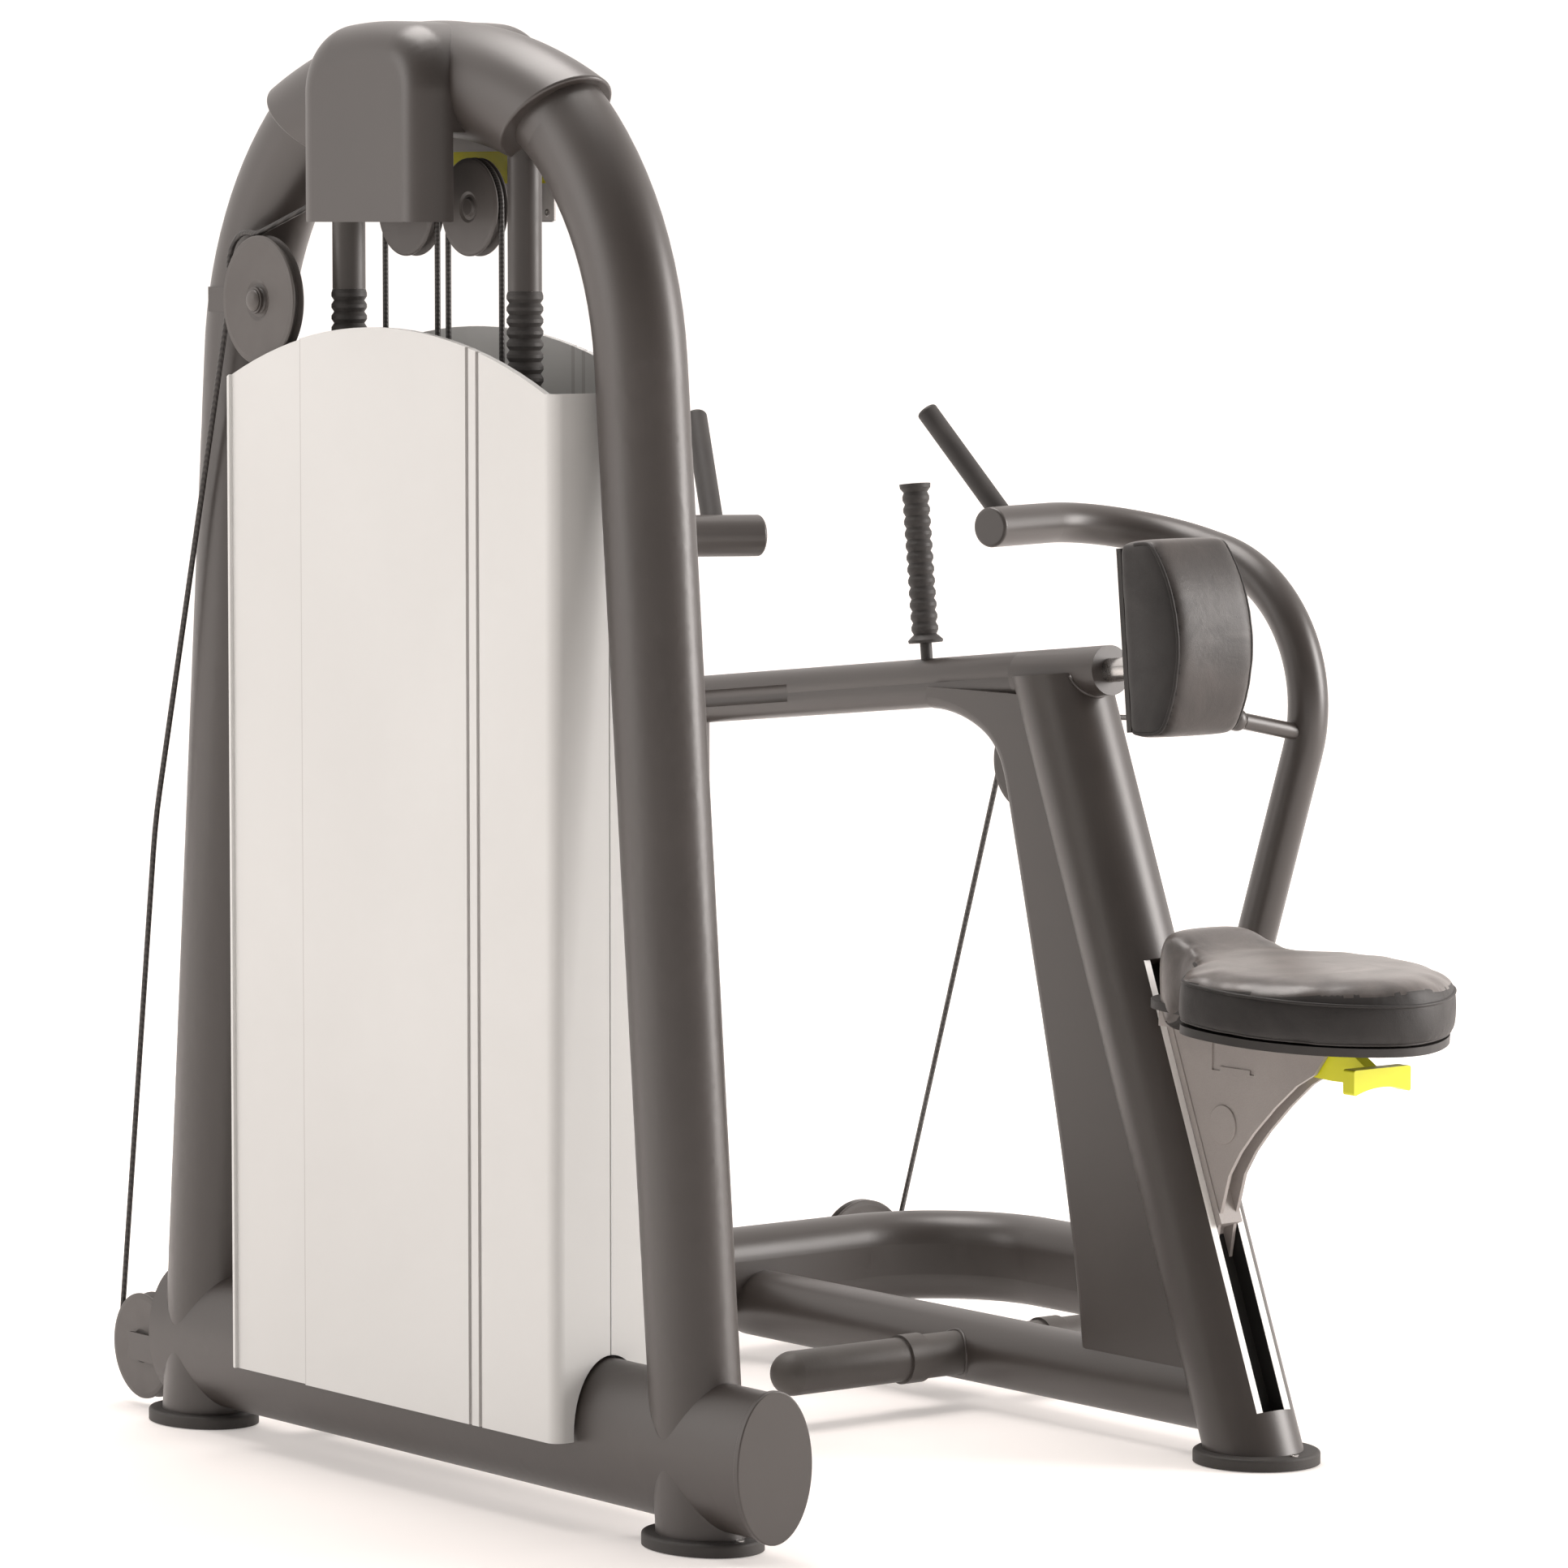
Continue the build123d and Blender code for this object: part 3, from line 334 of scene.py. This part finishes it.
LOOKS = {
    "frame_paint": paint("frame_paint", (0.0355, 0.0288, 0.0255), (0.0460, 0.0377, 0.0335), rough=0.40),
    "arm_paint": paint("arm_paint", (0.0330, 0.0268, 0.0238), (0.0422, 0.0346, 0.0308), rough=0.38),
    "foot_rubber": rubber("foot_rubber", (0.030, 0.027, 0.025), (0.052, 0.047, 0.044)),
    "peg_rubber": rubber("peg_rubber", (0.055, 0.048, 0.044), (0.075, 0.067, 0.061), rough=0.5),
    "grip_rubber": rubber("grip_rubber", (0.026, 0.023, 0.022), (0.045, 0.041, 0.038), rough=0.55),
    "sleeve_plastic": plastic("sleeve_plastic", (0.050, 0.044, 0.041), (0.068, 0.061, 0.056), rough=0.42),
    "steel": steel("steel"),
    "rail_white": plastic("rail_white", (0.80, 0.79, 0.77), (0.88, 0.87, 0.85), rough=0.35),
    "cast_iron": cast("cast_iron", (0.030, 0.027, 0.025), (0.050, 0.046, 0.043)),
    "shroud_white": shroud_look("shroud_white"),
    "pulley_plastic": plastic("pulley_plastic", (0.072, 0.064, 0.060), (0.098, 0.089, 0.083), rough=0.44),
    "cable_black": cable_look("cable_black"),
    "panel": panel_look("panel"),
    "leather": leather("leather", (0.022, 0.0176, 0.0158), (0.120, 0.100, 0.090), rough=0.33, coat=0.40),
    "leather_pad": leather(
        "leather_pad", (0.012, 0.0096, 0.0086), (0.050, 0.0405, 0.0360), rough=0.42, sheen=0.12, coat=0.12
    ),
    # A darker copy of the leather for sides, backs and undersides: painted shade.
    "leather_painted_shade": leather(
        "leather_painted_shade", (0.009, 0.0076, 0.0071), (0.022, 0.0184, 0.0170), rough=0.50, sheen=0.05
    ),
    "backing_plastic": plastic(
        "backing_plastic", (0.020, 0.018, 0.017), (0.032, 0.029, 0.027), rough=0.5, bump=0.25
    ),
    "bracket_grey": cast("bracket_grey", (0.300, 0.275, 0.262), (0.350, 0.322, 0.306)),
    "lever_yellow": plastic("lever_yellow", (0.74, 0.74, 0.012), (0.82, 0.82, 0.025), rough=0.36),
    # Near-black for the slot sheets: painted shade.
    "slot_black": slot_shade_look("slot_black"),
}

FINISH = {s["node"]: s["material_slot"] for s in frame["record"]["subparts"]}
for name, obj in nodes.items():
    look = "peg_rubber" if name == "foot_pegs" else FINISH[name]
    obj.data.materials.clear()
    obj.data.materials.append(LOOKS[look])


# ------------------------------------------------------------------ pieces
def link(obj):
    scene.collection.objects.link(obj)
    return obj


def mesh_object(name, verts, faces, look, smooth=True):
    mesh = bpy.data.meshes.new(name)
    mesh.from_pydata([tuple(v) for v in verts], [], faces)
    mesh.update()
    obj = link(bpy.data.objects.new(name, mesh))
    mesh.materials.append(LOOKS[look])
    for p in mesh.polygons:
        p.use_smooth = smooth
    return obj


def tube(name, points, radius, look, closed=False, sides=10):
    """A round bead along a polyline, as a mesh."""
    pts = [Vector(p) for p in points]
    count = len(pts)
    verts, faces = [], []
    side = None
    for i, p in enumerate(pts):
        before = pts[i - 1] if closed or i else p
        after = pts[(i + 1) % count] if closed or i < count - 1 else p
        along = (after - before).normalized()
        if side is None:
            side = along.orthogonal().normalized()
        side = (side - along * side.dot(along)).normalized()
        other = along.cross(side)
        for k in range(sides):
            a = 2 * math.pi * k / sides
            verts.append(p + (side * math.cos(a) + other * math.sin(a)) * radius)
    for i in range(count if closed else count - 1):
        j = (i + 1) % count
        for k in range(sides):
            n = (k + 1) % sides
            faces.append((i * sides + k, i * sides + n, j * sides + n, j * sides + k))
    if not closed:
        faces.append(tuple(range(sides))[::-1])
        faces.append(tuple((count - 1) * sides + k for k in range(sides)))
    return mesh_object(name, verts, faces, look)


def smooth_line(points, closed, steps):
    """Catmull-Rom points through the given ones."""
    pts = [Vector(p) for p in points]
    n = len(pts)
    out = []
    for i in range(n if closed else n - 1):
        a = pts[(i - 1) % n] if closed or i else pts[0] * 2 - pts[1]
        b, c = pts[i], pts[(i + 1) % n]
        d = pts[(i + 2) % n] if closed or i < n - 2 else pts[-1] * 2 - pts[-2]
        for k in range(steps):
            t = k / steps
            slope = (c - a) * t
            bend = (2 * a - 5 * b + 4 * c - d) * t * t
            twist = (3 * b - a - 3 * c + d) * t**3
            out.append(0.5 * ((2 * b) + slope + bend + twist))
    if not closed:
        out.append(pts[-1])
    return out


def dome(name, centre, normal, radius, height, look, sides=40):
    """A rounded cap with a small flat in the middle."""
    up = Vector(normal).normalized()
    a = up.orthogonal().normalized()
    b = up.cross(a)
    verts, faces = [], []
    turns = [math.radians(t) for t in (0, 15, 30, 45, 60, 74)]
    for lift in turns:
        r, h = radius * math.cos(lift), height * math.sin(lift)
        for k in range(sides):
            t = 2 * math.pi * k / sides
            verts.append(Vector(centre) + a * math.cos(t) * r + b * math.sin(t) * r + up * h)
    for i in range(len(turns) - 1):
        for k in range(sides):
            n = (k + 1) % sides
            faces.append((i * sides + k, i * sides + n, (i + 1) * sides + n, (i + 1) * sides + k))
    faces.append(tuple((len(turns) - 1) * sides + k for k in range(sides)))
    faces.append(tuple(range(sides))[::-1])
    return mesh_object(name, verts, faces, look)


def hex_bolt(name, centre, normal, across, height, body, look="steel"):
    """A cap screw with a hexagon socket."""
    up = Vector(normal).normalized()
    a = up.orthogonal().normalized()
    b = up.cross(a)
    c = Vector(centre)
    rings = [
        (across / 2, 0, 24), (across / 2, height * 0.85, 24), (across * 0.44, height, 24),
        (across * 0.26, height, 24), (across * 0.26, height * 0.4, 24),
    ]
    verts, faces = [], []
    for r, h, sides in rings:
        for k in range(sides):
            t = 2 * math.pi * k / sides
            rr = r
            if r < across * 0.3:
                rr = r * math.cos(math.pi / 6) / math.cos((t % (math.pi / 3)) - math.pi / 6)
            verts.append(c + a * math.cos(t) * rr + b * math.sin(t) * rr + up * h)
    for i in range(len(rings) - 1):
        for k in range(24):
            n = (k + 1) % 24
            faces.append((i * 24 + k, i * 24 + n, (i + 1) * 24 + n, (i + 1) * 24 + k))
    faces.append(tuple(4 * 24 + k for k in range(24)))
    faces.append(tuple(range(24))[::-1])
    obj = mesh_object(name, verts, faces, look, smooth=False)
    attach(obj, body)
    return obj


def applied(obj, name):
    """The object's mesh with its modifiers applied, as a new plain object."""
    graph = bpy.context.evaluated_depsgraph_get()
    mesh = bpy.data.meshes.new_from_object(obj.evaluated_get(graph), depsgraph=graph)
    made = link(bpy.data.objects.new(name, mesh))
    return made


def inflate(name, node, voxel, pressure, cap, shape=None, pinned=None, shrink=0.99):
    """A cushion blown up as cloth from a CAD solid."""
    start = link(bpy.data.objects.new(name + "_start", nodes[node].data.copy()))
    remesh = start.modifiers.new("even", "REMESH")
    remesh.mode = "VOXEL"
    remesh.voxel_size = voxel
    soft = applied(start, name)
    bpy.data.objects.remove(start)
    mesh = soft.data
    lo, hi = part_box(node)
    middle = (lo + hi) / 2
    for v in mesh.vertices:
        v.co = middle + (v.co - middle) * shrink
        if shape:
            v.co = shape(v.co)
    mesh.update()
    rest = [v.co.copy() for v in mesh.vertices]
    group = soft.vertex_groups.new(name="held")
    if pinned:
        group.add([v.index for v in mesh.vertices if pinned(v.co)], 1.0, "REPLACE")
    cloth = soft.modifiers.new("cloth", "CLOTH")
    s = cloth.settings
    s.quality = 6
    s.mass = 0.25
    s.tension_stiffness = s.compression_stiffness = 30
    s.shear_stiffness = 14
    s.bending_stiffness = 6.0
    s.use_pressure = True
    s.uniform_pressure_force = pressure
    s.effector_weights.gravity = 0.0
    s.vertex_group_mass = "held"
    cloth.point_cache.frame_start = 1
    cloth.point_cache.frame_end = 20
    for f in range(1, 21):
        scene.frame_set(f)
    final = applied(soft, name + "_blown")
    for v, r, e in zip(mesh.vertices, rest, final.data.vertices):
        move = e.co - r
        if move.length > cap:
            move = move.normalized() * cap
        v.co = r + move
    bpy.data.objects.remove(final)
    soft.modifiers.clear()
    scene.frame_set(1)
    smooth_mesh(soft, 7)
    return soft


def smooth_mesh(obj, times, where=None):
    bm = bmesh.new()
    bm.from_mesh(obj.data)
    chosen = [v for v in bm.verts if where is None or where(v.co)]
    for _ in range(times):
        bmesh.ops.smooth_vert(
            bm, verts=chosen, factor=0.5, use_axis_x=True, use_axis_y=True, use_axis_z=True
        )
    bm.to_mesh(obj.data)
    bm.free()


def finish_soft(obj, levels=1):
    for p in obj.data.polygons:
        p.use_smooth = True
    sub = obj.modifiers.new("fine", "SUBSURF")
    sub.levels = sub.render_levels = levels


# Chest pad.
PAD_LO, PAD_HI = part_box("chest_pad")
PAD_MID = (PAD_LO + PAD_HI) / 2


# Puts a second look on the faces that pass the test. For the leather it is the darker copy, which is
# painted shade.
def lit_and_shaded_looks(obj, side, lit_look, in_painted_shade):
    obj.data.materials.clear()
    obj.data.materials.append(LOOKS[lit_look])
    obj.data.materials.append(LOOKS[side])
    for p in obj.data.polygons:
        p.material_index = 1 if in_painted_shade(p) else 0




def pad_back(z):
    """Y of the pad's tilted back face at a height."""
    return PAD_MOUTH_Y + PAD_SLOPE * (z - PAD_MOUTH_Z)


pad = inflate(
    "chest_pad_cushion", "chest_pad", 0.005, 4.0, 0.004, pinned=lambda c: c.y > pad_back(c.z) - 0.022
)
# The pad's sides and back get the darker leather copy: painted shade.
lit_and_shaded_looks(
    pad,
    "leather_painted_shade",
    "leather_pad",
    lambda p: abs(p.normal.x) > 0.62 or p.center.y > pad_back(p.center.z) - 0.012,
)
finish_soft(pad)
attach(pad, "pad")
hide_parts("chest_pad")


def ray_edge(obj, start, direction):
    """First hit of a ray on a mesh in the row frame, or None."""
    hit, where, normal, index = obj.ray_cast(Vector(start), Vector(direction).normalized())
    return (where, normal) if hit else (None, None)


def pad_seam(x_in):
    """Points along the pad's rounded front, top and bottom at one X, on the skin."""
    centre = Vector((x_in, pad_back(PAD_MID.z) - 0.018, PAD_MID.z))
    out = []
    for i in range(97):
        a = math.radians(-90 + 180 * i / 96)
        d = Vector((0, -math.cos(a), math.sin(a) * 1.6))
        where, normal = ray_edge(pad, centre, d)
        if where is not None:
            out.append(where)
    return out


pad.data.update()
bpy.context.view_layer.update()
# The pad's piping takes the darker leather copy, which is painted shade.
for s, side in ((-1, "near"), (1, "far")):
    line = pad_seam(s * (PAD_HI.x - 0.0045))
    bead = tube("chest_pad_piping_" + side, line, 0.0021, "leather_painted_shade")
    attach(bead, "pad")

# Seat cushion.
# (Y, rise) of the top face above its plain slope.
SEAT_SWELL = (
    (-0.280, 0.0), (-0.100, 0.001), (-0.020, 0.002), (0.030, 0.007), (0.070, 0.017),
    (0.100, 0.020), (0.124, 0.013),
)


def seat_top_z(y):
    """Height of the top face: a slight slope that swells towards the nose."""
    line = SEAT_SWELL
    swell = line[-1][1]
    for (y0, z0), (y1, z1) in zip(line, line[1:]):
        if y < y1:
            swell = z0 + (z1 - z0) * max(0.0, y - y0) / (y1 - y0)
            break
    return SEAT_TOP + (y - SEAT_TURN_Y) * math.tan(SEAT_TILT) + swell


def seat_shape(c):
    """The nose rolls down along the column, and the rear of the top is a little crowned."""
    x, y, z = c
    rise = max(0.0, min(1.0, (z - (seat_top_z(y) - SEAT_THICK)) / SEAT_THICK))
    nose = max(0.0, min(1.0, (y - NOSE_FROM) / NOSE_RUN))
    nose = nose * nose * (3 - 2 * nose)
    drop = NOSE_DROP * nose * (1 - rise)
    lift = 0.003 * nose * rise * (1 - min(1.0, abs(x) / 0.075) ** 2)
    rear = max(0.0, min(1.0, (-0.02 - y) / 0.20))
    crown = REAR_CROWN * rise * (1 - min(1.0, abs(x) / 0.16) ** 2) * rear
    wide = x * (1 + 0.05 * nose * (1 - rise))
    back = y - 0.4 * drop - 0.006 * nose
    high = z - drop + lift + crown - 0.004 * rise * (1 - nose)
    return Vector((wide, back, high))


def seat_held(c):
    return c.z < seat_top_z(c.y) - 0.018 and c.y < 0.05 or c.z < seat_top_z(c.y) - 0.075


seat = inflate(
    "seat_cushion_skin", "seat_cushion", 0.005, 4.0, 0.006, shape=seat_shape, pinned=seat_held, shrink=0.992
)
# Rounding that grows towards the tip of the nose: passes, and from where along the seat.
for passes, from_y in ((10, -0.3), (12, 0.0), (14, 0.02), (26, 0.045)):
    smooth_mesh(seat, passes, lambda c: c.y > from_y)
# The seat's sides behind the nose and its underside get the darker leather copy: painted shade.
lit_and_shaded_looks(
    seat,
    "leather_painted_shade",
    "leather",
    lambda p: abs(p.normal.z) < 0.55 and p.center.y < 0.018 or p.normal.z < -0.5,
)
finish_soft(seat)
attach(seat, "seat")
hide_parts("seat_cushion")

SEAT_PLAN = [(80, 26), (112, -4), (150, -32), (158, -80), (149, -135), (118, -194), (78, -232), (0, -262)]


def seat_seam(drop, push):
    """A line round the seat's band, a little below the top edge."""
    half = [(x / 1000, y / 1000) for x, y in SEAT_PLAN]
    plan = half + [(-x, y) for x, y in reversed(half[:-1])]
    fine = smooth_line([(x, y, 0) for x, y in plan], False, 10)
    out = []
    for p in fine:
        z = seat_top_z(p.y) - drop
        target = Vector((p.x, p.y, z))
        inner = Vector((0, max(-0.13, min(0.0, p.y)), z))
        d = (target - inner).normalized()
        where, normal = ray_edge(seat, inner + d * 0.4, -d)
        if where is not None:
            out.append(where + d * push)
    return out


bpy.context.view_layer.update()
# The seat's piping takes the darker leather copy, which is painted shade.
bead = tube("seat_piping", seat_seam(0.0135, 0.0002), 0.0020, "leather_painted_shade")
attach(bead, "seat")
bead = tube("seat_lower_trim", seat_seam(0.0565, -0.0004), 0.0018, "backing_plastic")
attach(bead, "seat")

# Near-black sheets on the floor and walls of the column's slot: painted shade.
def leaned(x, out, along):
    """A point on the column: out from its axis towards the user, along it from the floor."""
    c, s = math.cos(COLUMN_LEAN), math.sin(COLUMN_LEAN)
    return Vector((x, -out * c + along * s, out * s + along * c))


def slot_shade_sheets():
    depth = 0.0265 + 0.0006
    corners = [leaned(x, depth + 0.0004, a) for a in SLOT_ENDS for x in (-SLOT_HALF, SLOT_HALF)]
    back = mesh_object("slot_shade_sheets", corners, [(0, 1, 3, 2)], "slot_black", smooth=False)
    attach(back, "frame")
    for s in (-1, 1):
        x = s * SLOT_HALF
        pts = [leaned(x, o, a) for a in SLOT_ENDS for o in (0.0275, 0.0485)]
        wall = mesh_object(
            "slot_shade_wall_" + ("far" if s > 0 else "near"), pts, [(0, 1, 3, 2)], "slot_black", smooth=False
        )
        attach(wall, "frame")


slot_shade_sheets()

# Weld beads.
def cylinder_meet(target, axis_at, axis_dir, radius, count=180, reach=0.5, lift=0.0006):
    """Where a round tube's surface meets another node: one ray per angle along the tube."""
    d = Vector(axis_dir).normalized()
    a = d.orthogonal().normalized()
    b = d.cross(a)
    out = []
    for k in range(count):
        t = 2 * math.pi * k / count
        start = Vector(axis_at) + (a * math.cos(t) + b * math.sin(t)) * (radius + lift)
        hit, where, normal, index = nodes[target].ray_cast(start, d, distance=reach)
        out.append(where.copy() if hit else None)
    return out


def bead_from(name, hits, radius, body, look):
    """Beads along the runs of hits that are together."""
    n = len(hits)
    if not any(h is not None for h in hits):
        return
    closed = all(h is not None for h in hits)
    start = 0 if closed else next(i for i in range(n) if hits[i - 1] is None and hits[i] is not None)
    run, runs = [], []
    for i in range(n):
        h = hits[(start + i) % n]
        if h is None or (run and (h - run[-1]).length > 0.02):
            runs.append(run)
            run = [] if h is None else [h]
        else:
            run.append(h)
    runs.append(run)
    for i, r in enumerate(r for r in runs if len(r) > 4):
        bead = tube(name + "_" + str(i + 1), r, radius, look, closed=closed and len(runs) == 1)
        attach(bead, body)


bpy.context.view_layer.update()
up_column = (0, math.sin(COLUMN_LEAN), math.cos(COLUMN_LEAN))
bead_from(
    "weld_column_beam",
    cylinder_meet("top_beam", leaned(0, 0, 0.75), up_column, COLUMN_R),
    0.0026,
    "frame",
    "frame_paint",
)
for s, side in ((-1, "near"), (1, "far")):
    hits = cylinder_meet("floor_spine", (s * 0.09, 0.492, 0.062), (-s, 0, 0), PEG_R)
    bead_from("weld_peg_" + side, hits, 0.0020, "frame", "frame_paint")
    hits = cylinder_meet(
        "arm_" + side, Vector((s * 0.200, 0.762, 1.0885)), Vector((s * 0.049, -0.102, -0.139)), GRIP_R
    )
    bead_from("weld_grip_" + side, hits, 0.0016, "arm_" + side, "arm_paint")
bead_from(
    "weld_rear_post",
    cylinder_meet("top_beam", (0, 1.075, 0.60), (0, 0, 1), REAR_POST_R),
    0.0022,
    "frame",
    "frame_paint",
)

# Hub cap, bolts and screws.
HUB_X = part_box("shoulder_pulley")[0].x - 0.004
hub = dome("shoulder_hub_cap", (HUB_X, *SHOULDER_HUB), (-1, 0, 0), 0.0125, 0.0060, "pulley_plastic")
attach(hub, "frame")
for s, side in ((-1, "near"), (1, "far")):
    hex_bolt("pivot_bolt_" + side, (s * ARM_PIVOT[0], *ARM_PIVOT[1:]), (s, 0, 0), 0.026, 0.006, "frame")
for i, (x, y) in enumerate(((TOWER_X, -0.081), (TOWER_X, 1.011), (0.0, -0.0635))):
    hex_bolt("foot_bolt_" + str(i + 1), (x, y, 0.0135), (0, 0, 1), 0.010, 0.0025, "frame")
PANEL_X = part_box("hood_panel")[0].x
for i, (y, z) in enumerate(((0.367, 1.396), (0.590, 1.396))):
    hex_bolt("panel_screw_" + str(i + 1), (PANEL_X + 0.0001, y, z), (-1, 0, 0), 0.008, 0.0014, "frame")

# ------------------------------------------------------------------ stage
def floor_look():
    """Pale sweep that glows with painted light, dimmer near the object as painted shade around it and
    brighter away from it, until it meets the backdrop.
    """
    m = Mat("studio_floor")
    away = m.math("SQRT", m.math("ADD", m.math("POWER", m.axis(0), 2.0), m.math("POWER", m.axis(1), 2.0)))
    # Painted light: the floor's own emission, cut within 1.3 m of the object as painted shade.
    glow = m.span(away, 1.3, 3.2, 0.28, 0.62)
    base = m.ramp(m.noise(1.5, 3, 0.5), [(0.3, (0.80, 0.765, 0.745)), (0.7, (0.82, 0.785, 0.765))])
    return m.finish(
        Base_Color=base, Roughness=0.75, Specular_IOR_Level=0.15,
        Emission_Color=(1.0, 0.955, 0.925), Emission_Strength=glow,
    )


floor_mesh = bpy.data.meshes.new("floor")
r = 60
floor_mesh.from_pydata(
    [(-r, -r, -0.0008), (r, -r, -0.0008), (r, r, -0.0008), (-r, r, -0.0008)], [], [(0, 1, 2, 3)]
)
floor = link(bpy.data.objects.new("floor", floor_mesh))
floor_mesh.materials.append(floor_look())


def area(name, at, look_at, size, power, colour=(1, 1, 1)):
    light = bpy.data.lights.new(name, "AREA")
    light.shape = "RECTANGLE"
    light.size, light.size_y = size
    light.energy = power
    light.color = colour
    obj = link(bpy.data.objects.new(name, light))
    obj.location = at
    obj.rotation_mode = "QUATERNION"
    obj.rotation_quaternion = (Vector(look_at) - Vector(at)).to_track_quat("-Z", "Y")
    return obj


area("right", (4.2, -3.0, 2.2), (-0.1, 0.3, 0.8), (2.4, 3.4), 300, (1.0, 0.955, 0.93))
area("left", (-5.2, 3.2, 2.4), (-0.5, 0.4, 0.8), (2.2, 3.0), 50, (1.0, 0.955, 0.93))
area("top", (-0.4, 1.6, 5.0), (-0.3, 0.4, 0.6), (3.0, 2.4), 150, (1.0, 0.95, 0.92))

world = bpy.data.worlds.new("studio")
scene.world = world
world.use_nodes = True
tree = world.node_tree
coords = tree.nodes.new("ShaderNodeTexCoord")
dot = tree.nodes.new("ShaderNodeVectorMath")
dot.operation = "DOT_PRODUCT"
dot.inputs[1].default_value = (0.6103, 0.7921, 0.0)
tree.links.new(coords.outputs["Generated"], dot.inputs[0])
spread = tree.nodes.new("ShaderNodeMapRange")
spread.interpolation_type = "SMOOTHSTEP"
spread.inputs["From Min"].default_value = -0.80
spread.inputs["From Max"].default_value = 0.35
spread.inputs["To Min"].default_value = 0.22
spread.inputs["To Max"].default_value = 1.13
tree.links.new(dot.outputs["Value"], spread.inputs["Value"])
back = tree.nodes["Background"]
back.inputs["Color"].default_value = (1.0, 0.945, 0.91, 1)
tree.links.new(spread.outputs["Result"], back.inputs["Strength"])

scene.view_settings.view_transform = "Standard"
scene.view_settings.look = "None"
scene.view_settings.exposure = 0.0
scene.view_settings.gamma = 1.0

cam_data = bpy.data.cameras.new("camera")
cam_data.lens = CAM_LENS
cam_data.sensor_width = 36.0
cam_data.clip_end = 200.0
cam = link(bpy.data.objects.new("camera", cam_data))
cam.location = CAM_AT
cam.rotation_euler = CAM_TURN
scene.camera = cam
